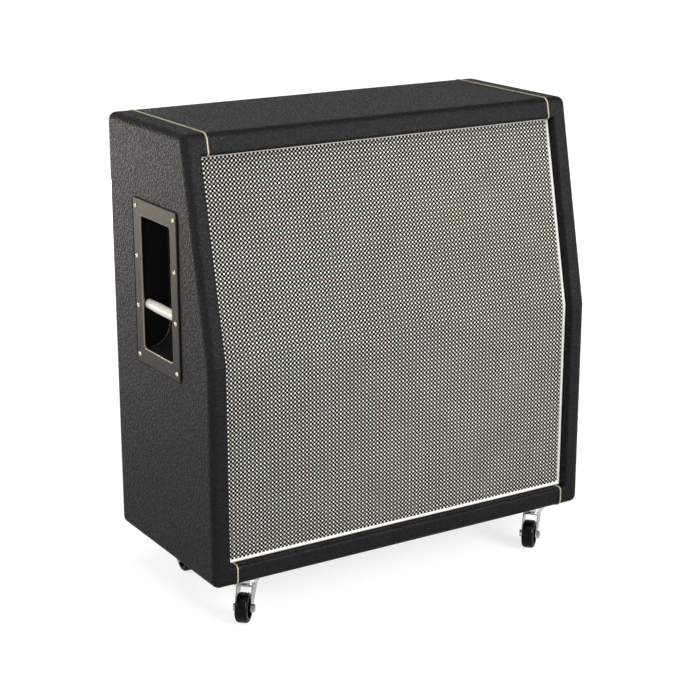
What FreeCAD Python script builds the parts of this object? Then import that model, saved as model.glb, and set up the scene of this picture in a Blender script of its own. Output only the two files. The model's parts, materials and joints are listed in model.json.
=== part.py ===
import FreeCAD, Part
import math
import os
import re
import Sketcher
from FreeCAD import Vector

doc = FreeCAD.newDocument("speaker_cabinet")
dims = doc.addObject("Spreadsheet::Sheet", "dims")

# Driving sizes in millimetres and degrees. Heights on the shell count from its underside,
# depths from the upright lower part of its front.
sizes = {
    "width": 770,
    "depth": 365,
    "shell_height": 754,
    "setback": 78,
    "bend_rise": 9,
    "edge_radius": 13.6,
    "skin": 1,
    "ply": 18,
    "finger": 36.3,
    "seam_inset": 43,
    "seam_bead": 2.3,
    "seam_rise": 1.5,
    "lip_side": 32,
    "lip_top": 36.6,
    "lip_bottom": 36,
    "lip_edge": 6,
    "recess": 18,
    "cloth": 1,
    "grille_ply": 12,
    "grille_border": 40,
    "grille_bead": 5.6,
    "top_bead": 3.6,
    "bead_proud": 2.2,
    "fit": 0.3,
    "back_ply": 15,
    "back_fit": 0.5,
    "cleat": 18,
    "post": 45,
    "post_drop": 32,
    "back_head": 4.5,
    "back_head_rise": 2,
    "handle_depth": 185,
    "handle_drop": 274,
    "plate_width": 166,
    "plate_height": 290,
    "plate_sheet": 2,
    "plate_corner": 9,
    "mouth_width": 114,
    "mouth_height": 235,
    "mouth_corner": 9,
    "dish_depth": 52,
    "dish_round": 40,
    "dish_sheet": 1.5,
    "dish_rim": 1,
    "grip_drop": 40,
    "grip_set": 12,
    "grip_middle": 9,
    "grip_end": 8,
    "screw_head": 4.2,
    "screw_dome": 2.6,
    "screw_spread": 140.5,
    "screw_step": 87,
    "jack_rise": 54,
    "jack_flange": 41,
    "jack_bowl": 30,
    "jack_sink": 20,
    "jack_sheet": 1.5,
    "jack_bore": 3.2,
    "jack_bush": 4.7,
    "jack_body": 10,
    "jack_length": 32,
    "jack_floor": 4,
    "jack_lip": 1.5,
    "jack_nut": 7,
    "jack_nut_rise": 2.5,
    "unit_side": 45.5,
    "unit_between": 23,
    "unit_edge": 20,
    "unit_rim": 13.5,
    "gasket": 3.8,
    "basket_sheet": 1.6,
    "basket_ledge": 11,
    "basket_waist": 76,
    "basket_neck": 66,
    "basket_hole": 45,
    "basket_slope": 58.6,
    "basket_cup": 10.4,
    "window_margin": 8,
    "window_half": 38,
    "paper": 0.8,
    "cone_edge": 16.5,
    "cone_rim": 4.5,
    "cone_drop": 54.6,
    "edge_gap": 0.5,
    "roll_rise": 2,
    "roll_seat": 4,
    "cap_radius": 32,
    "cap_rise": 12,
    "coil_radius": 23.2,
    "coil_wall": 1,
    "coil_length": 44,
    "coil_lap": 8,
    "air_gap": 0.5,
    "spider_fit": 0.05,
    "top_plate_radius": 60,
    "top_plate": 8,
    "magnet_radius": 78,
    "magnet_hole": 32,
    "magnet": 20,
    "yoke_plate": 8,
    "terminal_width": 20,
    "terminal_height": 8,
    "terminal_rise": 6,
    "lead": 2.2,
    "lead_gap": 3.1,
    "lead_run": 50,
    "lead_bend": 30,
    "lead_across": 150,
    "lower_lead_depth": 190,
    "lower_lead_drop": 1,
    "upper_lead_depth": 200,
    "upper_lead_rise": 39,
    "castor_height": 74,
    "castor_side": 80,
    "castor_front": 34,
    "castor_back": 77,
    "socket_flange": 22,
    "socket_sheet": 2.5,
    "socket_radius": 8,
    "socket_depth": 16,
    "stem_radius": 5.2,
    "stem_fit": 0.1,
    "race_radius": 20.5,
    "race": 6,
    "race_round": 2,
    "neck_radius": 14,
    "neck": 1.6,
    "pin_radius": 5,
    "rivet_radius": 8,
    "rivet": 1.8,
    "swivel_fit": 0.05,
    "play": 0.3,
    "crown": 2.5,
    "crown_back": 18,
    "crown_front": 21,
    "fork_gap": 25,
    "fork_sheet": 2,
    "fork_bend": 3,
    "fork_eye": 8,
    "trail": 29,
    "wheel_radius": 26,
    "wheel_width": 22,
    "wheel_shoulder": 5,
    "wheel_rim": 18,
    "wheel_web": 12,
    "hub_radius": 8,
    "axle_radius": 4,
    "axle_fit": 0.05,
    "axle_head": 6.5,
    "axle_head_rise": 3.2,
    "nut_radius": 7,
    "nut_height": 4.6,
    "yaw_front_left": 227,
    "yaw_front_right": 222,
    "yaw_rear_left": 264,
    "yaw_rear_right": 250,
}
for row, (alias, value) in enumerate(sizes.items(), start=1):
    dims.set(f"A{row}", alias)
    dims.set(f"B{row}", str(value))
    dims.setAlias(f"B{row}", alias)
doc.recompute()

# Sizes that follow from the driving ones
formulas = {
    "break_height": "shell_height / 2 + bend_rise",
    "post_height": "break_height - post_drop",
    "handle_height": "shell_height - handle_drop",
    "jack_height": "break_height + jack_rise",
    "lower_lead_height": "break_height - lower_lead_drop",
    "upper_lead_height": "break_height + upper_lead_rise",
    "castor_x": "width / 2 - castor_side",
    "castor_rear": "depth - castor_back",
    "speaker_x": "unit_between / 2 + speaker_radius",
    "cutout_radius": "speaker_radius - unit_rim",
    "basket_mouth": "cutout_radius - basket_ledge",
    "window_inner": "basket_waist + window_margin",
    "window_outer": "basket_mouth - window_margin",
    "cone_radius": "cutout_radius - cone_edge",
}
nodes = {}


def ex(formula):
    # writes a formula out to driving sizes, each with the sheet's name before it
    def full(found):
        name = found[0]
        if name in formulas:
            return f"({ex(formulas[name])})"
        return "dims." + name if name in sizes else name

    return re.sub(r"[a-z_]\w*", full, formula)


def number(formula):
    found = dims.evalExpression(ex(formula))
    return float(getattr(found, "Value", found))


def keep(label, thing):
    thing.Label = label
    nodes[label] = thing
    return thing


def place(thing, x="0", y="0", z="0", yaw="0", pitch="0", roll="0"):
    thing.setExpression("Placement", ex(f"placement(vector({x};{y};{z});rotation({yaw};{pitch};{roll}))"))
    return thing


# PartDesign steps

def new_body(name):
    return doc.addObject("PartDesign::Body", name)


def new_sketch(body, role, lift="0"):
    sketch = body.newObject("Sketcher::SketchObject", body.Name + "_sketch")
    plane = next(item for item in body.Origin.OriginFeatures if item.Role == role)
    sketch.AttachmentSupport = (plane, [""])
    sketch.MapMode = "FlatFace"
    sketch.setExpression("AttachmentOffset.Base.z", ex(lift))
    return sketch


def pin_point(sketch, geometry, position, point):
    for kind, formula in zip(("DistanceX", "DistanceY"), point):
        row = sketch.addConstraint(Sketcher.Constraint(kind, -1, 1, geometry, position, number(formula)))
        sketch.setExpression(f"Constraints[{row}]", ex(formula))


def outline(sketch, corners):
    # closed outline of straight runs; a corner with a radius starts an arc, which turns left unless told
    spots = [Vector(number(c[0]), number(c[1]), 0) for c in corners]
    first = len(sketch.Geometry)
    ends = []
    for i, corner in enumerate(corners):
        start = spots[i]
        end = spots[(i + 1) % len(spots)]
        ends.append((1, 2))
        if len(corner) == 2:
            sketch.addGeometry(Part.LineSegment(start, end))
            continue
        if corner[-1] == "right":
            start, end = end, start
            ends[i] = (2, 1)
        radius = number(corner[2])
        half = (end - start) * 0.5
        side = Vector(-half.y, half.x, 0).normalize()
        centre = start + half + side * math.sqrt(radius ** 2 - half.Length ** 2)
        turn = [math.atan2(p.y - centre.y, p.x - centre.x) for p in (start, end)]
        ring = Part.Circle(centre, Vector(0, 0, 1), radius)
        arc = sketch.addGeometry(Part.ArcOfCircle(ring, turn[0], turn[1]))
        row = sketch.addConstraint(Sketcher.Constraint("Radius", arc, radius))
        sketch.setExpression(f"Constraints[{row}]", ex(corner[2]))
    for i, corner in enumerate(corners):
        after = (i + 1) % len(corners)
        joint = (first + i, ends[i][1], first + after, ends[after][0])
        sketch.addConstraint(Sketcher.Constraint("Coincident", *joint))
        pin_point(sketch, first + i, ends[i][0], corner[:2])
    return sketch


def circle(sketch, across, up, radius):
    spot = Vector(number(across), number(up), 0)
    ring = sketch.addGeometry(Part.Circle(spot, Vector(0, 0, 1), number(radius)))
    row = sketch.addConstraint(Sketcher.Constraint("Radius", ring, number(radius)))
    sketch.setExpression(f"Constraints[{row}]", ex(radius))
    pin_point(sketch, ring, 3, (across, up))
    return sketch


def rectangle(sketch, left, right, low, high):
    return outline(sketch, [(left, low), (right, low), (right, high), (left, high)])


def pull(body, kind, sketch, length, both=False, reverse=False):
    step = body.newObject("PartDesign::" + kind, body.Name + "_" + kind.lower())
    step.Profile = sketch
    step.setExpression("Length", ex(length))
    step.SideType = "Symmetric" if both else "One side"
    step.Reversed = reverse
    doc.recompute()
    return step


def pad(body, sketch, length, both=False, reverse=False):
    return pull(body, "Pad", sketch, length, both, reverse)


def pocket(body, sketch, length, both=False, reverse=False):
    return pull(body, "Pocket", sketch, length, both, reverse)


def revolve(body, corners):
    # turned piece: corners are radius and height on the body's own Z axis
    sketch = outline(new_sketch(body, "XZ_Plane"), corners)
    step = body.newObject("PartDesign::Revolution", body.Name + "_turn")
    step.Profile = sketch
    step.ReferenceAxis = (sketch, ["V_Axis"])
    step.Angle = 360
    doc.recompute()
    return step


def fillet(body, radius, chosen):
    base = body.Tip
    names = [f"Edge{i}" for i, edge in enumerate(base.Shape.Edges, start=1) if chosen(edge)]
    step = body.newObject("PartDesign::Fillet", body.Name + "_fillet")
    step.Base = (base, names)
    step.setExpression("Radius", ex(radius))
    doc.recompute()
    return step


def runs_along(edge, axis):
    line = edge.Vertexes[-1].Point - edge.Vertexes[0].Point
    return line.Length > 0.01 and abs(abs(line.normalize().dot(axis)) - 1) < 1e-6


# Boolean steps

def cut(name, base, *tools):
    tool = tools[0] if len(tools) == 1 else fuse(name + "_tools", *tools)
    step = doc.addObject("Part::Cut", name)
    step.Base = base
    step.Tool = tool
    return step


def fuse(name, *shapes):
    step = doc.addObject("Part::MultiFuse", name)
    step.Shapes = list(shapes)
    return step


def common(name, *shapes):
    step = doc.addObject("Part::MultiCommon", name)
    step.Shapes = list(shapes)
    return step


def group(name, things):
    step = doc.addObject("Part::Compound", name)
    step.Links = list(things)
    return step


def box(name, x, y, z):
    # block between pairs of formulas
    block = doc.addObject("Part::Box", name)
    for side, pair in zip(("Length", "Width", "Height"), (x, y, z)):
        block.setExpression(side, ex(f"({pair[1]}) - ({pair[0]})"))
    return place(block, x[0], y[0], z[0])


def cylinder(name, radius, height):
    rod = doc.addObject("Part::Cylinder", name)
    rod.setExpression("Radius", ex(radius))
    rod.setExpression("Height", ex(height))
    return rod


# Places on the shell

def y_at(depth):
    return f"({depth}) - depth / 2"


def z_at(height):
    return f"castor_height + ({height})"


slant = "atan(setback / (shell_height - break_height))"


def kink_at(depth):
    # height of the bend in the front, at a depth behind it
    return f"break_height - ({depth}) * tan({slant} / 2)"


def front_at(depth, height):
    # how far back the slanted front lies at a height, at a depth behind it
    return f"setback / (shell_height - break_height) * (({height}) - break_height) + ({depth}) / cos({slant})"


def bent(depth_from, depth_to, low, high):
    # outline of a plate that follows the bend of the front
    corners = [
        (depth_from, low),
        (depth_to, low),
        (depth_to, kink_at(depth_to)),
        (front_at(depth_to, high), high),
        (front_at(depth_from, high), high),
        (depth_from, kink_at(depth_from)),
    ]
    return [(y_at(d), z_at(h)) for d, h in corners]


wall = "skin + ply"
lip_depth = "recess + cloth + grille_ply"
clear = "width"

# Shell blocks: one rounded outline at several insets gives the wood, its covering and the seam bead

x_axis = Vector(1, 0, 0)


def shell_block(name, inset):
    body = new_body(name)
    side = [
        (inset, inset),
        (f"depth - ({inset})", inset),
        (f"depth - ({inset})", f"shell_height - ({inset})"),
        (f"setback + ({inset}) * (1 - sin({slant})) / cos({slant})", f"shell_height - ({inset})"),
        (inset, kink_at(inset)),
    ]
    outline(new_sketch(body, "YZ_Plane"), [(y_at(d), z_at(h)) for d, h in side])
    pad(body, body.Group[-1], f"width - 2 * ({inset})", both=True)
    kink = (number(y_at(inset)), number(z_at(kink_at(inset))))

    def outer(edge):
        middle = edge.CenterOfMass
        on_kink = math.hypot(middle.y - kink[0], middle.z - kink[1]) < 0.01
        return not (runs_along(edge, x_axis) and on_kink)

    fillet(body, f"edge_radius - ({inset})", outer)
    return body


def open_block(name, inset):
    # the same block with the front and back openings sunk into it
    body = shell_block(name, inset)
    low = f"lip_bottom - ({inset})"
    high = f"shell_height - lip_top + ({inset})"
    half = f"width / 2 - lip_side + ({inset})"
    mouth = [
        (f"-{clear}", low),
        (lip_depth, low),
        (lip_depth, kink_at(lip_depth)),
        (front_at(lip_depth, high), high),
        (f"-{clear}", high),
    ]
    outline(new_sketch(body, "YZ_Plane"), [(y_at(d), z_at(h)) for d, h in mouth])
    pocket(body, body.Group[-1], f"2 * ({half})", both=True)
    rear = new_sketch(body, "YZ_Plane")
    lining = f"{wall} + skin - ({inset})"
    rectangle(
        rear,
        y_at("depth - skin - back_ply"),
        y_at(f"depth + {clear}"),
        z_at(lining),
        z_at(f"shell_height - ({lining})"),
    )
    pocket(body, rear, f"width - 2 * ({lining})", both=True)
    mouth_x = number(half)
    mouth_z = [number(z_at(low)), number(z_at(high))]

    def mouth_edge(edge):
        points = [v.Point for v in edge.Vertexes]
        inside = all(abs(p.x) < mouth_x + 0.01 and p.y < number(y_at("depth / 2")) for p in points)
        level = all(min(abs(p.z - z) for z in mouth_z) < 0.01 for p in points)
        upright = all(abs(abs(p.x) - mouth_x) < 0.01 for p in points)
        depths = [front_depth(p) for p in points]
        return inside and (level or upright) and max(depths) < number(inset) + 0.01

    fillet(body, f"lip_edge - ({inset})", mouth_edge)
    return body


def front_depth(point):
    # distance of a point behind the bent front
    height = point.z - number("castor_height")
    straight = point.y - number(y_at("0"))
    angle = math.radians(number(slant))
    leaning = straight * math.cos(angle) - (height - number("break_height")) * math.sin(angle)
    return min(straight, leaning) if height < number("break_height") else leaning


wood_block = shell_block("wood_block", "skin")
wood_open = open_block("wood_open", "skin")
skin_open = open_block("skin_open", "0")
bead_open = open_block("bead_open", "-seam_rise")


# Panels

comb_count = "ceil(depth / (2 * finger))"


def comb(name, sketch_role, lift, first, bars, length, both, axis):
    # evenly spaced bars that cut one side of the finger joints
    body = new_body(name)
    sketch = new_sketch(body, sketch_role, lift)
    for low, high in bars:
        near = y_at(f"skin + {first} * finger")
        far = y_at(f"skin + ({first} + 1) * finger")
        if sketch_role == "YZ_Plane":
            rectangle(sketch, near, far, low, high)
        else:
            rectangle(sketch, low, high, near, far)
    bar = pad(body, sketch, length, both=both)
    row = body.newObject("PartDesign::LinearPattern", name + "_row")
    row.Originals = [bar]
    row.Direction = (sketch, [axis])
    row.setExpression("Occurrences", ex(comb_count))
    row.setExpression("Length", ex(f"2 * finger * ({comb_count} - 1)"))
    body.Tip = row
    doc.recompute()
    return body


level_bars = [
    (z_at("-ply"), z_at(wall)),
    (z_at(f"shell_height - ({wall})"), z_at("shell_height + ply")),
]
upright_bars = [
    ("-width / 2 - ply", f"-width / 2 + {wall}"),
    (f"width / 2 - ({wall})", "width / 2 + ply"),
]
level_comb = comb("level_comb", "YZ_Plane", "0", 0, level_bars, "width + 2 * ply", True, "H_Axis")
upright_comb = comb(
    "upright_comb", "XY_Plane", z_at("-ply"), 1, upright_bars, "shell_height + 2 * ply", False, "V_Axis"
)

all_x = ("-width / 2", "width / 2")
all_y = (y_at("0"), y_at("depth"))
all_z = (z_at("0"), z_at("shell_height"))
left_x = ("-width / 2", f"-width / 2 + {wall}")
right_x = (f"width / 2 - ({wall})", "width / 2")
low_z = (z_at("0"), z_at(wall))
high_z = (z_at(f"shell_height - ({wall})"), z_at("shell_height"))
inner_half = f"(width / 2 - ({wall}))"
rear_face = "depth - skin - back_ply"
baffle_back = f"({lip_depth} + ply)"

hand_half_y = "mouth_width / 2 + dish_rim + dish_sheet + fit"
hand_half_z = "mouth_height / 2 + dish_rim + dish_sheet + fit"
hand_y = (y_at(f"handle_depth - ({hand_half_y})"), y_at(f"handle_depth + {hand_half_y}"))
hand_z = (z_at(f"handle_height - ({hand_half_z})"), z_at(f"handle_height + {hand_half_z}"))
hand_hole = box("hand_hole", ("-width", "width"), hand_y, hand_z)

castors = {
    "front_left": ("-castor_x", "castor_front"),
    "front_right": ("castor_x", "castor_front"),
    "rear_left": ("-castor_x", "castor_rear"),
    "rear_right": ("castor_x", "castor_rear"),
}
socket_holes = []
for corner, (x, d) in castors.items():
    hole = cylinder("socket_hole_" + corner, "socket_radius + stem_fit", f"{wall} + castor_height")
    socket_holes.append(place(hole, x, y_at(d)))

left_blank = common("left_blank", wood_block, box("left_zone", left_x, all_y, all_z))
right_blank = common("right_blank", wood_block, box("right_zone", right_x, all_y, all_z))
top_blank = common("top_blank", wood_block, box("top_zone", all_x, all_y, high_z))
bottom_blank = common("bottom_blank", wood_block, box("bottom_zone", all_x, all_y, low_z))
keep("left_side_panel", cut("left_side", left_blank, level_comb, hand_hole))
keep("right_side_panel", cut("right_side", right_blank, level_comb, hand_hole))
keep("top_panel", cut("top_board", top_blank, upright_comb))
keep("bottom_panel", cut("bottom_board", bottom_blank, upright_comb, *socket_holes))


def plate(name, corners, half):
    # board cut to a side outline, as wide as twice the half width
    body = new_body(name)
    sketch = outline(new_sketch(body, "YZ_Plane"), [(y_at(d), z_at(h)) for d, h in corners])
    pad(body, sketch, f"2 * ({half})", both=True)
    return body


roof = f"shell_height - ({wall})"
lip_zone = plate("lip_zone", [
    (f"-{clear}", wall),
    (lip_depth, wall),
    (lip_depth, kink_at(lip_depth)),
    (front_at(lip_depth, roof), roof),
    (f"-{clear}", roof),
], inner_half)
keep("front_lip_frame", common("lip_frame", wood_open, lip_zone))

# Back

panel_half = f"({inner_half} - skin - back_fit)"
panel_x = (f"-{panel_half}", panel_half)
panel_z = (z_at(f"{wall} + skin + back_fit"), z_at(f"shell_height - ({wall}) - skin - back_fit"))
jack_hole = cylinder("jack_hole", "jack_bowl + jack_sheet + fit", "2 * depth")
place(jack_hole, "0", "0", z_at("jack_height"), roll="-90")
back_blank = box("back_blank", panel_x, (y_at(rear_face), y_at("depth - skin")), panel_z)
back_sheet = box("back_sheet", panel_x, (y_at("depth - skin"), y_at("depth")), panel_z)
keep("back_panel", cut("back_board", back_blank, jack_hole))
keep("back_covering", cut("back_cloth", back_sheet, jack_hole))

cleat_y = (y_at(f"{rear_face} - cleat"), y_at(rear_face))
cleat_x = (f"-({inner_half} - cleat)", f"{inner_half} - cleat")
keep("back_cleats", group("cleats", [
    box("cleat_left", (f"-{inner_half}", f"-({inner_half} - cleat)"), cleat_y, (z_at(wall), z_at(roof))),
    box("cleat_right", (f"{inner_half} - cleat", inner_half), cleat_y, (z_at(wall), z_at(roof))),
    box("cleat_low", cleat_x, cleat_y, (z_at(wall), z_at(f"{wall} + cleat"))),
    box("cleat_high", cleat_x, cleat_y, (z_at(f"{roof} - cleat"), z_at(roof))),
]))
keep("centre_post", box(
    "post", ("-post / 2", "post / 2"), (y_at(baffle_back), y_at(rear_face)),
    (z_at("post_height - post / 2"), z_at("post_height + post / 2"))
))


def domed_head(name, radius, rise):
    body = new_body(name)
    revolve(body, [("0", "0"), (radius, "0", f"({radius} ^ 2 + {rise} ^ 2) / (2 * {rise})"), ("0", rise)])
    return body


screw_x = f"({inner_half} - cleat / 2)"
screw_low = f"{wall} + cleat / 2"
screw_high = f"{roof} - cleat / 2"
back_spots = []
for share in range(5):
    height = f"{screw_low} + ({screw_high} - ({screw_low})) * {share} / 4"
    back_spots += [(f"-{screw_x}", height), (screw_x, height)]
for share in (-1, 0, 1):
    across = f"{screw_x} * {share} / 2"
    back_spots += [(across, screw_low), (across, screw_high)]
heads = []
for i, (x, h) in enumerate(back_spots):
    head = domed_head(f"back_screw_{i}", "back_head", "back_head_rise")
    heads.append(place(head, x, y_at("depth"), z_at(h), roll="-90"))
keep("back_screws", group("back_heads", heads))

# Jack

jack_spot = {"y": y_at("depth"), "z": z_at("jack_height"), "roll": "-90"}
bowl_floor = "(jack_bowl - jack_sink / 3)"
jack_dish = new_body("jack_dish_body")
revolve(jack_dish, [
    ("jack_bush + fit", "-jack_sink - jack_sheet"),
    (f"{bowl_floor} + jack_sheet", "-jack_sink - jack_sheet"),
    ("jack_bowl + jack_sheet", "0"),
    ("jack_flange", "0"),
    ("jack_flange", "jack_sheet"),
    ("jack_bowl", "jack_sheet"),
    (bowl_floor, "-jack_sink"),
    ("jack_bush + fit", "-jack_sink"),
])
keep("jack_dish", place(jack_dish, **jack_spot))

jack_seat = "(jack_sink + jack_sheet)"
jack_mouth = "jack_nut_rise + jack_lip - jack_sink"
jack_socket = new_body("jack_socket_body")
revolve(jack_socket, [
    ("0", f"-{jack_seat} - jack_length"),
    ("jack_body", f"-{jack_seat} - jack_length"),
    ("jack_body", f"-{jack_seat}"),
    ("jack_bush", f"-{jack_seat}"),
    ("jack_bush", jack_mouth),
    ("jack_bore", jack_mouth),
    ("jack_bore", f"-{jack_seat} - jack_length + jack_floor"),
    ("0", f"-{jack_seat} - jack_length + jack_floor"),
])
keep("jack_socket", place(jack_socket, **jack_spot))


def hexagon(sketch, radius):
    turns = [(f"{radius} * cos({60 * i} deg)", f"{radius} * sin({60 * i} deg)") for i in range(6)]
    return outline(sketch, turns)


def nut(name, radius, hole, height, lift):
    body = new_body(name)
    sketch = hexagon(new_sketch(body, "XY_Plane", lift), radius)
    circle(sketch, "0", "0", hole)
    pad(body, sketch, height)
    return body


jack_nut = nut("jack_nut_body", "jack_nut", "jack_bush + stem_fit", "jack_nut_rise", "-jack_sink")
keep("jack_nut", place(jack_nut, **jack_spot))

# Front

bead_room = "(grille_bead + 2 * fit)"
grille_half = f"(width / 2 - lip_side - {bead_room})"
grille_low = f"(lip_bottom + {bead_room})"
grille_high = "(shell_height - lip_top - top_bead - 2 * fit)"
frame_front = "(recess + cloth)"


def sloped(depth_from, depth_to, low, high):
    # outline of the part of a bent plate that lies above the bend
    return [
        (front_at(depth_from, low), low),
        (front_at(depth_to, low), low),
        (front_at(depth_to, high), high),
        (front_at(depth_from, high), high),
    ]


def bent_plate(name, depth_from, depth_to, low, high, half):
    body = new_body(name)
    sketch = outline(new_sketch(body, "YZ_Plane"), bent(depth_from, depth_to, low, high))
    pad(body, sketch, f"2 * {half}", both=True)
    return body


frame = bent_plate("grille_frame_body", frame_front, lip_depth, grille_low, grille_high, grille_half)
window_half_x = f"({grille_half} - grille_border)"
lower_window = new_sketch(frame, "YZ_Plane")
rectangle(
    lower_window, y_at("0"), y_at(baffle_back),
    z_at(f"{grille_low} + grille_border"), z_at("break_height - grille_border / 2")
)
pocket(frame, lower_window, f"2 * {window_half_x}", both=True)
upper_window = new_sketch(frame, "YZ_Plane")
slope_window = sloped("0", baffle_back, "break_height + grille_border / 2", f"{grille_high} - grille_border")
outline(upper_window, [(y_at(d), z_at(h)) for d, h in slope_window])
pocket(frame, upper_window, f"2 * {window_half_x}", both=True)
keep("grille_frame", frame)
keep("grille_cloth", bent_plate("cloth_body", "recess", frame_front, grille_low, grille_high, grille_half))


def front_point(depth, height, side):
    # a point on a line that follows the bent front, left or right of the middle
    lean = number(height) > number("break_height")
    back = front_at(depth, height) if lean else depth
    return Vector(side, number(y_at(back)), number(z_at(height)))


# one piping runs down the sides and along the bottom, a thinner one along the top
bead_depth = "recess - bead_proud + grille_bead / 2"
bead_edge = "fit + grille_bead / 2"
bead_low = f"lip_bottom + {bead_edge}"
bead_high = "shell_height - lip_top - fit - grille_bead / 4"
bead_half = f"(width / 2 - lip_side - ({bead_edge}))"
bead_path = doc.addObject("Part::Polygon", "bead_path")
bead_levels = [bead_high, kink_at(bead_depth), bead_low]
bead_turns = [(level, -1) for level in bead_levels] + [(level, 1) for level in reversed(bead_levels)]
bead_path.Nodes = [front_point(bead_depth, h, number(bead_half) * side) for h, side in bead_turns]
bead_round = doc.addObject("Part::Circle", "bead_round")
bead_round.setExpression("Radius", ex("grille_bead / 2"))
bead_start = bead_path.Nodes[0]
bead_way = FreeCAD.Rotation(Vector(0, 0, 1), bead_path.Nodes[1] - bead_start)
bead_round.Placement = FreeCAD.Placement(bead_start, bead_way)
doc.recompute()
bead = doc.addObject("Part::Sweep", "grille_bead")
bead.Sections = [bead_round]
bead.Spine = (bead_path, [f"Edge{i}" for i in range(1, 6)])
bead.Solid = True
bead.Transition = "Right corner"
top_depth = "recess - bead_proud + top_bead / 2"
top_level = "shell_height - lip_top - fit - top_bead / 2"
top_rod = new_body("top_piping")
top_round = new_sketch(top_rod, "YZ_Plane")
circle(top_round, y_at(front_at(top_depth, top_level)), z_at(top_level), "top_bead / 2")
pad(top_rod, top_round, f"2 * ({bead_half} - grille_bead / 2 - fit)", both=True)
keep("grille_piping", group("piping", [bead, top_rod]))

# Covering, in four pieces that meet at the seams

covering = cut("covering", skin_open, wood_open)
seam_near = "(width / 2 - seam_inset - seam_bead / 2)"
seam_far = "(width / 2 - seam_inset + seam_bead / 2)"
cover_low = (z_at("0"), z_at("break_height"))
cover_high = (z_at("break_height"), z_at("shell_height"))
middle_x = (f"-{seam_near}", seam_near)
left_cover = box("left_cover_zone", ("-width / 2", f"-{seam_far}"), all_y, all_z)
right_cover = box("right_cover_zone", (seam_far, "width / 2"), all_y, all_z)
keep("left_covering", cut("left_skin", common("left_wrap", covering, left_cover), hand_hole))
keep("right_covering", cut("right_skin", common("right_wrap", covering, right_cover), hand_hole))
keep("top_covering", common("top_skin", covering, box("top_cover_zone", middle_x, all_y, cover_high)))
bottom_wrap = common("bottom_wrap", covering, box("bottom_cover_zone", middle_x, all_y, cover_low))
keep("bottom_covering", cut("bottom_skin", bottom_wrap, *socket_holes))
seam_beads = cut("seam_beads", bead_open, wood_open)
seam_y = (y_at("-depth"), y_at("2 * depth"))
seam_z = (z_at("-ply"), z_at("shell_height + ply"))
left_strip = box("left_strip", (f"-{seam_far}", f"-{seam_near}"), seam_y, seam_z)
right_strip = box("right_strip", (seam_near, seam_far), seam_y, seam_z)
seam_end = "recess - bead_proud - fit"
front_stop = bent_plate("front_stop", seam_end, baffle_back, f"({wall})", f"({roof})", "width / 2")
back_stop_y = (y_at(rear_face), y_at("depth + ply"))
back_stop_z = (z_at(f"{wall} + skin"), z_at(f"{roof} - skin"))
back_stop = box("back_stop", all_x, back_stop_y, back_stop_z)
left_run = common("left_run", seam_beads, left_strip)
right_run = common("right_run", seam_beads, right_strip)
keep("left_seam_piping", cut("left_seam", left_run, front_stop, back_stop))
keep("right_seam_piping", cut("right_seam", right_run, front_stop, back_stop))

# Handles


def rounded_bowl(sketch, depth, high, radius):
    outline(sketch, [
        ("0", f"-({high})"),
        (f"{depth} - {radius}", f"-({high})", radius),
        (depth, f"-({high}) + {radius}"),
        (depth, f"{high} - {radius}", radius),
        (f"{depth} - {radius}", high),
        ("0", high),
    ])


def handle_dish(name):
    # face plate with a pressed dish behind it; X runs into the cabinet
    body = new_body(name)
    face = new_sketch(body, "YZ_Plane")
    rectangle(face, "-plate_width / 2", "plate_width / 2", "-plate_height / 2", "plate_height / 2")
    pad(body, face, "plate_sheet", reverse=True)
    fillet(body, "plate_corner", lambda edge: runs_along(edge, x_axis))
    bowl = new_sketch(body, "XZ_Plane")
    rounded_bowl(bowl, "dish_depth", "mouth_height / 2 + dish_rim + dish_sheet", "dish_round")
    pad(body, bowl, "mouth_width + 2 * (dish_rim + dish_sheet)", both=True)
    hollow = new_sketch(body, "XZ_Plane")
    inner_round = "(dish_round - dish_sheet)"
    rounded_bowl(hollow, "dish_depth - dish_sheet", "mouth_height / 2 + dish_rim", inner_round)
    pocket(body, hollow, "mouth_width + 2 * dish_rim", both=True)
    mouth = new_sketch(body, "YZ_Plane")
    rectangle(mouth, "-mouth_width / 2", "mouth_width / 2", "-mouth_height / 2", "mouth_height / 2")
    pocket(body, mouth, "4 * plate_sheet", both=True)
    corner = Vector(0, number("mouth_width / 2"), number("mouth_height / 2"))

    def mouth_corner(edge):
        middle = edge.CenterOfMass
        off = math.hypot(abs(middle.y) - corner.y, abs(middle.z) - corner.z)
        return runs_along(edge, x_axis) and off < 0.01

    fillet(body, "mouth_corner", mouth_corner)
    return body


hand_spot = {"y": y_at("handle_depth"), "z": z_at("handle_height")}
keep("left_handle_dish", place(handle_dish("left_dish"), "-width / 2", **hand_spot))
keep("right_handle_dish", place(handle_dish("right_dish"), "width / 2", yaw="180", **hand_spot))

grip_half = "(mouth_width / 2 + dish_rim)"
grip_swell = "(grip_middle - grip_end)"
grips = []
for side, x in (("left", "-(width / 2 - grip_set)"), ("right", "width / 2 - grip_set")):
    grip = new_body(side + "_grip")
    revolve(grip, [
        ("0", f"-{grip_half}"),
        ("grip_end", f"-{grip_half}", f"({grip_half} ^ 2 + {grip_swell} ^ 2) / (2 * {grip_swell})"),
        ("grip_end", grip_half),
        ("0", grip_half),
    ])
    grips.append(place(grip, x, y_at("handle_depth"), z_at("handle_height - grip_drop"), roll="-90"))
keep("handle_grips", group("grips", grips))

domes = []
dome_sides = (("left", "-width / 2 - plate_sheet", "-90"), ("right", "width / 2 + plate_sheet", "90"))
for side, x, lean in dome_sides:
    for column in (-1, 1):
        for row in range(4):
            dome = domed_head(f"dome_{side}_{column + 1}_{row}", "screw_head", "screw_dome")
            back = y_at(f"handle_depth + {column} * screw_spread / 2")
            domes.append(place(dome, x, back, z_at(f"handle_height + {row - 1.5} * screw_step"), pitch=lean))
keep("handle_screws", group("domes", domes))

# Baffles and drive units; a unit's own Z axis runs back from the rear face of its baffle

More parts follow.
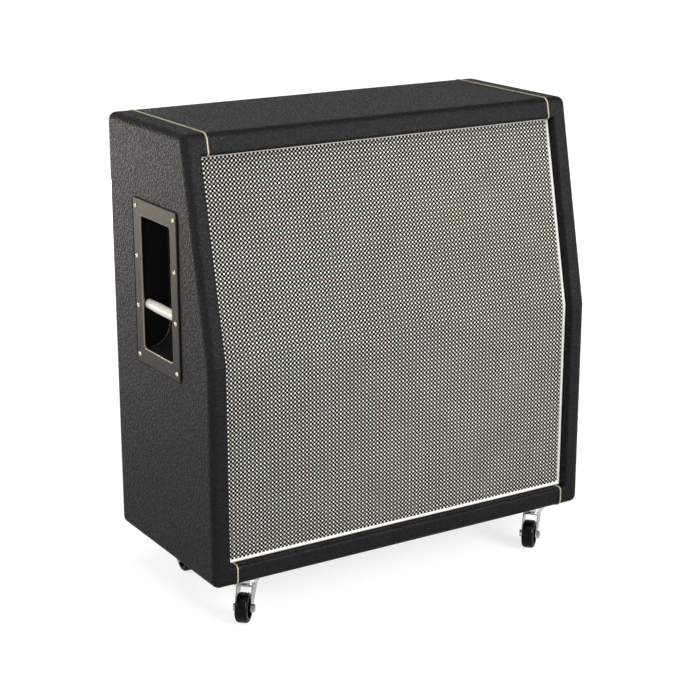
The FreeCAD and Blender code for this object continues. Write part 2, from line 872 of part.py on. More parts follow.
lower_board = plate("lower_board", [
    (lip_depth, wall),
    (baffle_back, wall),
    (baffle_back, kink_at(baffle_back)),
    (lip_depth, kink_at(lip_depth)),
], inner_half)
upper_board = plate("upper_board", [
    (lip_depth, kink_at(lip_depth)),
    (baffle_back, kink_at(baffle_back)),
    (front_at(baffle_back, roof), roof),
    (front_at(lip_depth, roof), roof),
], inner_half)
bend = f"({kink_at(baffle_back)})"
lower_reach = f"({bend} - ({wall}))"
upper_reach = f"(({roof} - {bend}) / cos({slant}))"
across_reach = f"(2 * {inner_half} - 2 * unit_side - unit_between)"
formulas["speaker_radius"] = (
    f"min({across_reach} / 4; {lower_reach} / 2 - unit_edge; {upper_reach} / 2 - unit_edge)"
)
lower_centre = f"{wall} + {lower_reach} / 2"
lower_spot = {"y": y_at(baffle_back), "z": z_at(lower_centre), "yaw": "180", "roll": "90"}
upper_spot = {
    "y": y_at(f"{baffle_back} + {upper_reach} / 2 * sin({slant})"),
    "z": z_at(f"{bend} + {upper_reach} / 2 * cos({slant})"),
    "roll": f"-90 deg - {slant}",
}
units = [
    {"x": "-speaker_x", **lower_spot},
    {"x": "speaker_x", **lower_spot},
    {"x": "-speaker_x", **upper_spot},
    {"x": "speaker_x", **upper_spot},
]
cutters = []
for i, spot in enumerate(units, start=1):
    cutter = new_body(f"cutout_{i}")
    pad(cutter, circle(new_sketch(cutter, "XY_Plane"), "0", "0", "cutout_radius"), "4 * ply", both=True)
    cutters.append(place(cutter, **spot))
keep("lower_baffle", cut("lower_holed", lower_board, *cutters[:2]))
keep("upper_baffle", cut("upper_holed", upper_board, *cutters[2:]))

flange_back = "(gasket + basket_sheet)"
ledge = "(gasket + basket_sheet + basket_slope)"
cup_back = f"({ledge} + basket_sheet + basket_cup)"
cone_low = "(gasket - paper)"
cone_top = f"({cone_low} + cone_drop)"
coil_top = f"({cone_low} + cone_drop - coil_lap)"
edge_in = "(cone_radius + edge_gap)"
edge_out = "(cutout_radius - edge_gap)"
roll_step = f"((basket_mouth + roll_seat - {edge_in}) / 4)"


def basket(body):
    revolve(body, [
        ("basket_mouth", "gasket"),
        ("speaker_radius", "gasket"),
        ("speaker_radius", flange_back),
        ("basket_mouth + 2 * basket_sheet", flange_back),
        ("basket_waist + basket_sheet", f"{ledge} + basket_sheet"),
        ("basket_neck + basket_sheet", f"{ledge} + basket_sheet"),
        ("basket_neck + basket_sheet", cup_back),
        ("basket_hole", cup_back),
        ("basket_hole", f"{cup_back} - basket_sheet"),
        ("basket_neck", f"{cup_back} - basket_sheet"),
        ("basket_neck", ledge),
        ("basket_waist", ledge),
        ("basket_mouth + basket_sheet", flange_back),
        ("basket_mouth", flange_back),
    ])
    window = new_sketch(body, "XY_Plane")
    narrow = "window_half * window_inner / window_outer"
    outline(window, [
        ("window_inner", f"-{narrow}"),
        ("window_outer", "-window_half"),
        ("window_outer", "window_half"),
        ("window_inner", narrow),
    ])
    opening = pocket(body, window, cup_back, reverse=True)
    ring = body.newObject("PartDesign::PolarPattern", body.Name + "_windows")
    ring.Originals = [opening]
    ring.Axis = (window, ["N_Axis"])
    ring.Angle = 360
    ring.Occurrences = 6
    body.Tip = ring
    doc.recompute()


def gasket(body):
    revolve(body, [
        ("cutout_radius", "0"),
        ("speaker_radius", "0"),
        ("speaker_radius", "gasket"),
        ("cutout_radius", "gasket"),
    ])


def surround(body):
    front = [(f"{edge_in} + {roll_step} * {i}", f"{cone_low} - roll_rise * {i % 2}") for i in range(5)]
    behind = [(r, f"{z} + paper") for r, z in reversed(front)]
    rim = [(edge_out, cone_low), (edge_out, "gasket")]
    revolve(body, front + rim + behind)


def top_plate(body):
    revolve(body, [
        ("coil_radius + air_gap", cup_back),
        ("top_plate_radius", cup_back),
        ("top_plate_radius", f"{cup_back} + top_plate"),
        ("coil_radius + air_gap", f"{cup_back} + top_plate"),
    ])


def magnet(body):
    front = f"{cup_back} + top_plate"
    revolve(body, [
        ("magnet_hole", front),
        ("magnet_radius", front),
        ("magnet_radius", f"{front} + magnet"),
        ("magnet_hole", f"{front} + magnet"),
    ])


def yoke(body):
    front = f"{cup_back} + top_plate + magnet"
    pole = "coil_radius - coil_wall - air_gap"
    revolve(body, [
        ("0", cup_back),
        (pole, cup_back),
        (pole, front),
        ("top_plate_radius", front),
        ("top_plate_radius", f"{front} + yoke_plate"),
        ("0", f"{front} + yoke_plate"),
    ])


def spider(body):
    seat = f"({ledge} - paper)"
    inner = "coil_radius + spider_fit"
    step = f"((basket_neck - ({inner})) / 4)"
    front = [(f"{inner} + {step} * {i}", f"{seat} - roll_rise * {i % 2}") for i in range(5)]
    behind = [(r, f"{z} + paper") for r, z in reversed(front)]
    rim = [("basket_waist - edge_gap", seat), ("basket_waist - edge_gap", ledge)]
    revolve(body, front + rim + behind)


def terminal(body):
    sketch = new_sketch(body, "XY_Plane", f"{ledge} + basket_sheet")
    near = "basket_neck + basket_sheet + fit"
    rectangle(sketch, "-terminal_width / 2", "terminal_width / 2", near, f"{near} + terminal_height")
    pad(body, sketch, "terminal_rise")


def cone(body):
    revolve(body, [
        ("cone_radius", cone_low),
        ("cone_radius", "gasket"),
        ("cone_radius - cone_rim", "gasket"),
        ("coil_radius", f"{cone_top} + paper"),
        ("coil_radius", cone_top),
        ("cone_radius - cone_rim + paper / 2", cone_low),
    ])


def dust_cap(body):
    share = "(cap_radius - coil_radius) / (cone_radius - cone_rim - coil_radius)"
    seat = f"({cone_top} - cone_drop * {share} - fit)"
    inner = "(cap_radius - paper)"
    hollow = "(cap_rise - paper)"
    revolve(body, [
        ("0", f"{seat} - cap_rise", "(cap_radius ^ 2 + cap_rise ^ 2) / (2 * cap_rise)"),
        ("cap_radius", seat),
        (inner, seat, f"({inner} ^ 2 + {hollow} ^ 2) / (2 * {hollow})", "right"),
        ("0", f"{seat} - {hollow}"),
    ])


def coil(body):
    revolve(body, [
        ("coil_radius - coil_wall", coil_top),
        ("coil_radius", coil_top),
        ("coil_radius", f"{coil_top} + coil_length"),
        ("coil_radius - coil_wall", f"{coil_top} + coil_length"),
    ])


fixed_pieces = {
    "speaker_baskets": basket,
    "speaker_gaskets": gasket,
    "speaker_surrounds": surround,
    "speaker_top_plates": top_plate,
    "speaker_magnets": magnet,
    "speaker_yokes": yoke,
    "speaker_spiders": spider,
    "speaker_terminals": terminal,
}
moving_pieces = {"cone": cone, "dust_cap": dust_cap, "coil": coil}
for label, make in fixed_pieces.items():
    made = []
    for i, spot in enumerate(units, start=1):
        body = new_body(f"{make.__name__}_{i}")
        make(body)
        made.append(place(body, **spot))
    keep(label, group(label + "_group", made))
for i, spot in enumerate(units, start=1):
    made = []
    for name, make in moving_pieces.items():
        body = new_body(f"{name}_{i}")
        make(body)
        made.append(place(body, **spot))
    keep(f"speaker_cone_{i}", group(f"cone_group_{i}", made))

# Castors

race_low = "(castor_height - socket_sheet - race)"
neck_low = f"({race_low} - neck)"
crown_top = f"({neck_low} - play)"
crown_low = f"({crown_top} - crown)"
rivet_top = f"({crown_low} - play)"
fork_half = "(fork_gap / 2 + fork_sheet)"


def castor_socket(body):
    revolve(body, [
        ("stem_radius + stem_fit", "castor_height - socket_sheet"),
        ("socket_flange", "castor_height - socket_sheet"),
        ("socket_flange", "castor_height"),
        ("socket_radius", "castor_height"),
        ("socket_radius", "castor_height + socket_depth"),
        ("stem_radius + stem_fit", "castor_height + socket_depth"),
    ])


def castor_stem(body):
    revolve(body, [
        ("0", f"{rivet_top} - rivet"),
        ("rivet_radius", f"{rivet_top} - rivet"),
        ("rivet_radius", rivet_top),
        ("pin_radius", rivet_top),
        ("pin_radius", neck_low),
        ("neck_radius", neck_low),
        ("neck_radius", race_low),
        ("race_radius", race_low),
        ("race_radius", f"{race_low} + race"),
        ("stem_radius", f"{race_low} + race"),
        ("stem_radius", "castor_height + socket_depth - fit"),
        ("0", "castor_height + socket_depth - fit"),
    ])
    rim = number("race_radius")
    fillet(body, "race_round", lambda e: len(e.Vertexes) == 1 and abs(e.Curve.Radius - rim) < 0.01)


def castor_fork(body):
    leg = new_sketch(body, "XZ_Plane")
    outline(leg, [
        ("trail - fork_eye", "wheel_radius"),
        ("trail + fork_eye", "wheel_radius"),
        ("crown_front", crown_top),
        ("-crown_back", crown_top),
    ])
    pad(body, leg, f"2 * {fork_half}", both=True)
    eye = circle(new_sketch(body, "XZ_Plane"), "trail", "wheel_radius", "fork_eye")
    pad(body, eye, f"2 * {fork_half}", both=True)
    top = number(crown_top)
    fillet(body, "fork_bend", lambda e: runs_along(e, x_axis) and abs(e.CenterOfMass.z - top) < 0.01)
    slot = new_sketch(body, "XZ_Plane")
    rectangle(slot, "-crown_back - trail", "crown_front + 2 * trail", "-wheel_radius", crown_low)
    pocket(body, slot, "fork_gap", both=True)
    swivel = circle(new_sketch(body, "XY_Plane"), "0", "0", "pin_radius + swivel_fit")
    pocket(body, swivel, "4 * castor_height", both=True)
    axle_hole = circle(new_sketch(body, "XZ_Plane"), "trail", "wheel_radius", "axle_radius + stem_fit")
    pocket(body, axle_hole, "4 * fork_gap", both=True)


def castor_wheel(body):
    hub = "(fork_gap / 2 - play)"
    tread = "(wheel_width / 2 - wheel_shoulder)"
    revolve(body, [
        ("axle_radius + axle_fit", f"-{hub}"),
        ("hub_radius", f"-{hub}"),
        ("hub_radius", "-wheel_web / 2"),
        ("wheel_rim", "-wheel_web / 2"),
        ("wheel_rim", "-wheel_width / 2"),
        ("wheel_radius - wheel_shoulder", "-wheel_width / 2", "wheel_shoulder"),
        ("wheel_radius", f"-{tread}"),
        ("wheel_radius", tread, "wheel_shoulder"),
        ("wheel_radius - wheel_shoulder", "wheel_width / 2"),
        ("wheel_rim", "wheel_width / 2"),
        ("wheel_rim", "wheel_web / 2"),
        ("hub_radius", "wheel_web / 2"),
        ("hub_radius", hub),
        ("axle_radius + axle_fit", hub),
    ])


def castor_bolt(body):
    revolve(body, [
        ("0", f"-{fork_half} - axle_head_rise"),
        ("axle_head", f"-{fork_half} - axle_head_rise"),
        ("axle_head", f"-{fork_half}"),
        ("axle_radius", f"-{fork_half}"),
        ("axle_radius", f"{fork_half} + nut_height + play"),
        ("0", f"{fork_half} + nut_height + play"),
    ])


sockets = []
stems = []
for corner, (x, d) in castors.items():
    swivel_spot = {"x": x, "y": y_at(d)}
    yaw = f"yaw_{corner}"
    axle_spot = {
        "x": f"{x} + trail * cos({yaw} * 1 deg)",
        "y": f"{y_at(d)} + trail * sin({yaw} * 1 deg)",
        "z": "wheel_radius",
        "yaw": yaw,
        "roll": "-90",
    }
    socket = new_body("socket_" + corner)
    castor_socket(socket)
    sockets.append(place(socket, **swivel_spot))
    stem = new_body("stem_" + corner)
    castor_stem(stem)
    stems.append(place(stem, **swivel_spot))
    fork = new_body("fork_" + corner)
    castor_fork(fork)
    keep("castor_fork_" + corner, place(fork, yaw=yaw, **swivel_spot))
    wheel = new_body("wheel_" + corner)
    castor_wheel(wheel)
    keep("castor_wheel_" + corner, place(wheel, **axle_spot))
    bolt = new_body("bolt_" + corner)
    castor_bolt(bolt)
    axle_nut = nut("nut_" + corner, "nut_radius", "axle_radius + stem_fit", "nut_height", fork_half)
    axle = [place(piece, **axle_spot) for piece in (bolt, axle_nut)]
    keep("castor_axle_" + corner, group("axle_" + corner, axle))
keep("castor_sockets", group("sockets", sockets))
keep("castor_stems", group("stems", stems))

# Leads from the jack to the drive units, inside the cabinet

tail = Vector(0, number(y_at(f"depth - {jack_seat} - jack_length")), number(z_at("jack_height")))
plug_out = number("basket_neck + basket_sheet + fit + terminal_height")
plug_back = number(f"{ledge} + basket_sheet + terminal_rise / 2")


def lead_route(side, rise, level, spot):
    # out of the jack, through one loose turn, then straight down onto the terminals
    start = tail + Vector(side, 0, rise) * number("lead_gap")
    run = number("lead_run")
    turn_y = number(y_at(f"{level}_lead_depth"))
    turn_z = number(z_at(f"{level}_lead_height"))
    loose = Vector(side * number("lead_across"), turn_y, turn_z)
    seat = spot.multVec(Vector(0, plug_out, plug_back))
    way_in = spot.Rotation.multVec(Vector(0, run, 0))
    return [start, start - Vector(0, run, 0), loose, seat + way_in, seat]


def rounded_line(points, radius):
    # straight runs joined by arcs
    edges = []
    start = points[0]
    for before, corner, after in zip(points, points[1:], points[2:]):
        way_in = (corner - before).normalize()
        way_out = (after - corner).normalize()
        half = way_in.getAngle(way_out) / 2
        inward = (way_out - way_in).normalize()
        first = corner - way_in * radius * math.tan(half)
        last = corner + way_out * radius * math.tan(half)
        middle = corner + inward * radius * (1 / math.cos(half) - 1)
        edges.append(Part.LineSegment(start, first).toShape())
        edges.append(Part.Arc(first, middle, last).toShape())
        start = last
    edges.append(Part.LineSegment(start, points[-1]).toShape())
    return Part.Wire(edges)


doc.recompute()
leads = []
lead_ways = [(-1, -1, "lower"), (1, -1, "lower"), (-1, 1, "upper"), (1, 1, "upper")]
for (side, rise, level), cutter in zip(lead_ways, cutters):
    route = lead_route(side, rise, level, cutter.Placement)
    section = Part.Wire([Part.Circle(route[0], Vector(0, 1, 0), number("lead")).toShape()])
    lead = doc.addObject("Part::Feature", "lead_" + cutter.Name)
    lead.Shape = rounded_line(route, number("lead_bend")).makePipeShell([section], True, False)
    leads.append(lead)
keep("speaker_leads", group("leads", leads))

doc.recompute()
for thing in doc.Objects:
    if {"Invalid", "Error"} & set(thing.State):
        raise ValueError(f"{thing.Name} did not build")
os.makedirs("parts", exist_ok=True)
for label, thing in nodes.items():
    if thing.Shape.isNull() or not thing.Shape.isValid():
        raise ValueError(f"{label} is not a sound solid")
    thing.Shape.exportStep(f"parts/{label}.step")
print(len(nodes), "nodes")
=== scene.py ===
import bpy
import json
import math
import numpy as np
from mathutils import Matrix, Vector


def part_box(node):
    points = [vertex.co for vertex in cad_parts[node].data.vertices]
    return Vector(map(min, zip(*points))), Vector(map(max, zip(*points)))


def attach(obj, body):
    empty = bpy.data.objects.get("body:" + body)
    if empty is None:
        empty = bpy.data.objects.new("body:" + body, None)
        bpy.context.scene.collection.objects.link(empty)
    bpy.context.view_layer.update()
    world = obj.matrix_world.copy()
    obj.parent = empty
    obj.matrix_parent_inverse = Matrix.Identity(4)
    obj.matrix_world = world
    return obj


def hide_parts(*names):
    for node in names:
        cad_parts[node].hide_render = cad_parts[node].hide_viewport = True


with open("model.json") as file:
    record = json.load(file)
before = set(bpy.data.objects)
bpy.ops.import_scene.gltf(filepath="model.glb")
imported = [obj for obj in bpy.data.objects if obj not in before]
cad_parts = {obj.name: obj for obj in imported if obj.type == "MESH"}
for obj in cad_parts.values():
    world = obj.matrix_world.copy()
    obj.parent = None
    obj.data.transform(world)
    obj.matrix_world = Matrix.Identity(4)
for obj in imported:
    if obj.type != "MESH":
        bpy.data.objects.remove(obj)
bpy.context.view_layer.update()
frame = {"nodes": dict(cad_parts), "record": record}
nodes = frame["nodes"]
print("frame loaded,", len(nodes), "nodes")

# patterns are measured in mm; places and sizes of pieces are in metres
noiseLow, noiseHigh = 0.3, 0.7  # most values of a noise lie between these
squareCorners = ((-1, -1), (1, -1), (1, 1), (-1, 1))


def hexColour(text):
    # sRGB hex to linear
    channels = [int(text[i:i + 2], 16) / 255 for i in (1, 3, 5)]
    return [c / 12.92 if c <= 0.04045 else ((c + 0.055) / 1.055) ** 2.4 for c in channels] + [1.0]


def perMetre(size):
    # a pattern's scale, from the size of one of its spots in mm
    return 1000 / size


def span(low, high, newLow, newHigh):
    return {"From Min": low, "From Max": high, "To Min": newLow, "To Max": newHigh}


def setInputs(tree, node, inputs):
    # an input takes a value, a socket, or the first live output of another node
    for name, source in inputs.items():
        if isinstance(source, bpy.types.Node):
            source = next(output for output in source.outputs if output.enabled)
        if isinstance(source, bpy.types.NodeSocket):
            tree.links.new(source, node.inputs[name])
        else:
            node.inputs[name].default_value = source


def addNode(tree, kind, inputs=None, stops=(), **settings):
    # one node with its settings and links; stops are a colour ramp's places and hex colours
    node = tree.nodes.new(kind)
    for name, value in settings.items():
        setattr(node, name, value)
    for mark, (place, colour) in zip(node.color_ramp.elements if stops else (), stops):
        mark.position = place
        mark.color = hexColour(colour)
    setInputs(tree, node, inputs or {})
    return node


def newFinish(name, constants):
    finish = bpy.data.materials.new(name)
    finish.use_nodes = True
    tree = finish.node_tree
    shader = tree.nodes["Principled BSDF"]
    setInputs(tree, shader, constants)
    place = addNode(tree, "ShaderNodeTexCoord").outputs["Object"]
    return finish, tree, shader, place


# Covering: PVC-coated cotton with an embossed pebble grain, glued on; black with small glints
# the real grain is about 2.5 mm, drawn coarser so that it shows at this distance
vinyl = {
    "pebble": 4.2,
    "pebbleMelt": 0.35,
    "wander": 5,
    "wanderReach": 3,
    "pore": 0.9,
    "poreShare": 0.25,
    "blot": 38,
    "blotShare": 0.6,
    "creviceShadeShare": -0.35,
    "relief": 1.0,
    "dark": "#08080a",
    "light": "#121214",
    "specular": 0.18,
    "roughness": (0.24, 0.6),
}


def pebbledVinyl():
    finish, tree, shader, place = newFinish(
        "pebbledVinyl", {"Specular IOR Level": vinyl["specular"]}
    )
    wander = addNode(
        tree, "ShaderNodeTexNoise", {"Vector": place, "Scale": perMetre(vinyl["wander"])}
    )
    bent = addNode(
        tree, "ShaderNodeVectorMath",
        {0: wander.outputs["Color"], 1: [vinyl["wanderReach"] / 1000] * 3, 2: place},
        operation="MULTIPLY_ADD",
    )
    grains = addNode(
        tree, "ShaderNodeTexVoronoi",
        {"Vector": bent, "Scale": perMetre(vinyl["pebble"]), "Smoothness": vinyl["pebbleMelt"]},
        feature="SMOOTH_F1",
    )
    pores = addNode(tree, "ShaderNodeTexNoise", {"Vector": place, "Scale": perMetre(vinyl["pore"])})
    shallow = addNode(
        tree, "ShaderNodeMath", {0: pores, 1: vinyl["poreShare"]}, operation="MULTIPLY"
    )
    height = addNode(tree, "ShaderNodeMath", {0: shallow, 1: grains}, operation="SUBTRACT")
    bump = addNode(
        tree, "ShaderNodeBump",
        {"Height": height, "Distance": vinyl["relief"] / 1000, "Strength": 1.0},
    )
    blots = addNode(
        tree, "ShaderNodeTexNoise",
        {"Vector": place, "Scale": perMetre(vinyl["blot"]), "Detail": 4.0},
    )
    faint = addNode(
        tree, "ShaderNodeMath", {0: blots, 1: vinyl["blotShare"]}, operation="MULTIPLY"
    )
    # the crevices between the pebbles are painted darker, a painted shade
    tone = addNode(
        tree, "ShaderNodeMath",
        {0: grains, 1: vinyl["creviceShadeShare"], 2: faint}, operation="MULTIPLY_ADD",
    )
    colour = addNode(
        tree, "ShaderNodeValToRGB", {"Fac": tone},
        stops=[(0.05, vinyl["dark"]), (0.4, vinyl["light"])],
    )
    gloss = addNode(
        tree, "ShaderNodeMapRange", {"Value": grains, **span(0.0, 0.6, *vinyl["roughness"])}
    )
    setInputs(tree, shader, {"Base Color": colour, "Roughness": gloss, "Normal": bump})
    return finish


# Shell: birch plywood, sanded; pale with long soft grain along the boards
plywood = {
    "grainAcross": 3.0,
    "grainAlong": 90,
    "relief": 0.15,
    "dark": "#b08a58",
    "light": "#d2b285",
    "specular": 0.3,
    "roughness": 0.65,
}


def birchPlywood():
    finish, tree, shader, place = newFinish(
        "birchPlywood",
        {"Roughness": plywood["roughness"], "Specular IOR Level": plywood["specular"]},
    )
    stretch = plywood["grainAcross"] / plywood["grainAlong"]
    along = addNode(
        tree, "ShaderNodeMapping", {"Vector": place, "Scale": (stretch, 1.0, stretch)}
    )
    grain = addNode(
        tree, "ShaderNodeTexNoise",
        {"Vector": along, "Scale": perMetre(plywood["grainAcross"]), "Detail": 5.0},
    )
    colour = addNode(
        tree, "ShaderNodeValToRGB", {"Fac": grain},
        stops=[(noiseLow, plywood["dark"]), (noiseHigh, plywood["light"])],
    )
    bump = addNode(
        tree, "ShaderNodeBump",
        {"Height": grain, "Distance": plywood["relief"] / 1000, "Strength": 0.4},
    )
    setInputs(tree, shader, {"Base Color": colour, "Normal": bump})
    return finish


# Paint, plastic, board or paper: faint clouding and a fine surface
coat = {"cloudDark": 0.32, "cloudLight": 0.68, "grit": 0.8}


def evenCoat(name, dark, light, roughness, blot, relief=0.05):
    finish, tree, shader, place = newFinish(name, {})
    cloud = addNode(
        tree, "ShaderNodeTexNoise", {"Vector": place, "Scale": perMetre(blot), "Detail": 4.0}
    )
    colour = addNode(
        tree, "ShaderNodeValToRGB", {"Fac": cloud},
        stops=[(coat["cloudDark"], dark), (coat["cloudLight"], light)],
    )
    gloss = addNode(
        tree, "ShaderNodeMapRange", {"Value": cloud, **span(noiseLow, noiseHigh, *roughness)}
    )
    grit = addNode(
        tree, "ShaderNodeTexNoise",
        {"Vector": place, "Scale": perMetre(coat["grit"]), "Detail": 3.0},
    )
    bump = addNode(
        tree, "ShaderNodeBump", {"Height": grit, "Distance": relief / 1000, "Strength": 0.5}
    )
    setInputs(tree, shader, {"Base Color": colour, "Roughness": gloss, "Normal": bump})
    return finish


# Plated or bare metal: mirror-like, with faint smears that blur it
plate = {"smearFrom": 0.35, "grit": 0.5, "relief": 0.01}


def brightMetal(name, colour, roughness, smear):
    finish, tree, shader, place = newFinish(
        name, {"Metallic": 1.0, "Base Color": hexColour(colour)}
    )
    smears = addNode(
        tree, "ShaderNodeTexNoise", {"Vector": place, "Scale": perMetre(smear), "Detail": 4.0}
    )
    gloss = addNode(
        tree, "ShaderNodeMapRange",
        {"Value": smears, **span(plate["smearFrom"], noiseHigh, *roughness)},
    )
    grit = addNode(
        tree, "ShaderNodeTexNoise",
        {"Vector": place, "Scale": perMetre(plate["grit"]), "Detail": 2.0},
    )
    bump = addNode(
        tree, "ShaderNodeBump",
        {"Height": grit, "Distance": plate["relief"] / 1000, "Strength": 0.3},
    )
    setInputs(tree, shader, {"Roughness": gloss, "Normal": bump})
    return finish


# Handles: pressed steel; the face plate is satin bronze-grey and the dish is black enamel;
# a black rim round the plate's edge is a painted shadow line
handle = {
    "middle": (0, 0.0025, 0.554),
    "faceFrom": 0.3847,
    "halfWidth": 0.083,
    "halfHeight": 0.145,
    "shadowLineEnds": 0.0018,
    "shadowLineSides": 0.0042,
    "paintedShadeLow": 0.05,
    "paintedLightHigh": 0.6,
    "cloud": 9,
    "cloudShare": 0.35,
    "grit": 0.7,
    "relief": 0.05,
    "plateLow": "#2b2925",
    "plateHigh": "#4b463e",
    "plateMetal": 0.55,
    "plateRoughness": (0.48, 0.62),
    "dish": "#030303",
    "dishRoughness": 0.95,
    "specular": 0.3,
}
handleY, handleZ = handle["middle"][1:]


def handleSteel():
    finish, tree, shader, place = newFinish(
        "satinAndEnamelledSteel", {"Specular IOR Level": handle["specular"]}
    )
    fromMiddle = addNode(
        tree, "ShaderNodeVectorMath", {0: place, 1: handle["middle"]}, operation="SUBTRACT"
    )
    size = addNode(tree, "ShaderNodeVectorMath", {0: fromMiddle}, operation="ABSOLUTE")
    away = addNode(tree, "ShaderNodeSeparateXYZ", {"Vector": size}).outputs
    front = addNode(
        tree, "ShaderNodeMath", {0: away["X"], 1: handle["faceFrom"]}, operation="GREATER_THAN"
    )
    # a thin black rim round the plate's face is a painted shadow line along the plate's edge
    beside = addNode(
        tree, "ShaderNodeMath",
        {0: away["Y"], 1: handle["halfWidth"] - handle["shadowLineSides"]}, operation="LESS_THAN",
    )
    level = addNode(
        tree, "ShaderNodeMath",
        {0: away["Z"], 1: handle["halfHeight"] - handle["shadowLineEnds"]}, operation="LESS_THAN",
    )
    insideShadowLine = addNode(tree, "ShaderNodeMath", {0: beside, 1: level}, operation="MULTIPLY")
    face = addNode(tree, "ShaderNodeMath", {0: front, 1: insideShadowLine}, operation="MULTIPLY")
    # painted light and shade: the plate is painted lighter towards the top and darker towards the
    # bottom
    rise = addNode(tree, "ShaderNodeSeparateXYZ", {"Vector": fromMiddle}).outputs["Z"]
    ends = (-handle["halfHeight"], handle["halfHeight"])
    paintedTopLight = addNode(
        tree, "ShaderNodeMapRange",
        {"Value": rise, **span(*ends, handle["paintedShadeLow"], handle["paintedLightHigh"])},
    )
    cloud = addNode(
        tree, "ShaderNodeTexNoise",
        {"Vector": place, "Scale": perMetre(handle["cloud"]), "Detail": 4.0},
    )
    tone = addNode(
        tree, "ShaderNodeMath",
        {0: cloud, 1: handle["cloudShare"], 2: paintedTopLight}, operation="MULTIPLY_ADD",
    )
    satin = addNode(
        tree, "ShaderNodeValToRGB", {"Fac": tone},
        stops=[(0.2, handle["plateLow"]), (0.8, handle["plateHigh"])],
    )
    colour = addNode(
        tree, "ShaderNodeMix", {0: face, 6: hexColour(handle["dish"]), 7: satin}, data_type="RGBA"
    )
    metal = addNode(
        tree, "ShaderNodeMath", {0: face, 1: handle["plateMetal"]}, operation="MULTIPLY"
    )
    satinGloss = addNode(
        tree, "ShaderNodeMapRange",
        {"Value": cloud, **span(noiseLow, noiseHigh, *handle["plateRoughness"])},
    )
    gloss = addNode(
        tree, "ShaderNodeMix",
        {0: face, 2: handle["dishRoughness"], 3: satinGloss}, data_type="FLOAT",
    )
    grit = addNode(
        tree, "ShaderNodeTexNoise",
        {"Vector": place, "Scale": perMetre(handle["grit"]), "Detail": 2.0},
    )
    bump = addNode(
        tree, "ShaderNodeBump",
        {"Height": grit, "Distance": handle["relief"] / 1000, "Strength": 0.5},
    )
    setInputs(
        tree, shader, {"Base Color": colour, "Metallic": metal, "Roughness": gloss, "Normal": bump}
    )
    return finish


# Wheels: moulded black rubber; near black, with grey scuffs where it rolls
tread = {
    "scuff": 4.0,
    "relief": 0.12,
    "dark": "#050505",
    "light": "#121211",
    "specular": 0.14,
    "roughness": (0.16, 0.34),
}


def mouldedRubber():
    finish, tree, shader, place = newFinish(
        "mouldedRubber", {"Specular IOR Level": tread["specular"]}
    )
    scuffs = addNode(
        tree, "ShaderNodeTexNoise",
        {"Vector": place, "Scale": perMetre(tread["scuff"]), "Detail": 6.0, "Roughness": 0.65},
    )
    colour = addNode(
        tree, "ShaderNodeValToRGB", {"Fac": scuffs},
        stops=[(0.45, tread["dark"]), (0.78, tread["light"])],
    )
    gloss = addNode(
        tree, "ShaderNodeMapRange",
        {"Value": scuffs, **span(noiseLow, noiseHigh, *tread["roughness"])},
    )
    bump = addNode(
        tree, "ShaderNodeBump",
        {"Height": scuffs, "Distance": tread["relief"] / 1000, "Strength": 0.5},
    )
    setInputs(tree, shader, {"Base Color": colour, "Roughness": gloss, "Normal": bump})
    return finish


# Grille cloth: coarse basket weave, cream floats among black ones; a lively grey from a step away
# the real squares are 3.25 mm, drawn 15 per cent coarser so that they show at this distance
weave = {
    "square": 3.75,
    "yarns": 3,
    "yarnRise": 0.35,
    "yarnShade": 0.3,
    "relief": 0.5,
    "gapTo": 0.31,
    "fullFrom": 0.64,
    "gapLight": 0.02,
    "deepColumnShade": 0.5,
    "cream": "#faf9ec",
    "shade": "#eeecdc",
    "black": "#030303",
    "blackHigh": "#1a1a18",
    "soil": 60,
    "specular": 0.05,
    "roughness": 0.9,
}


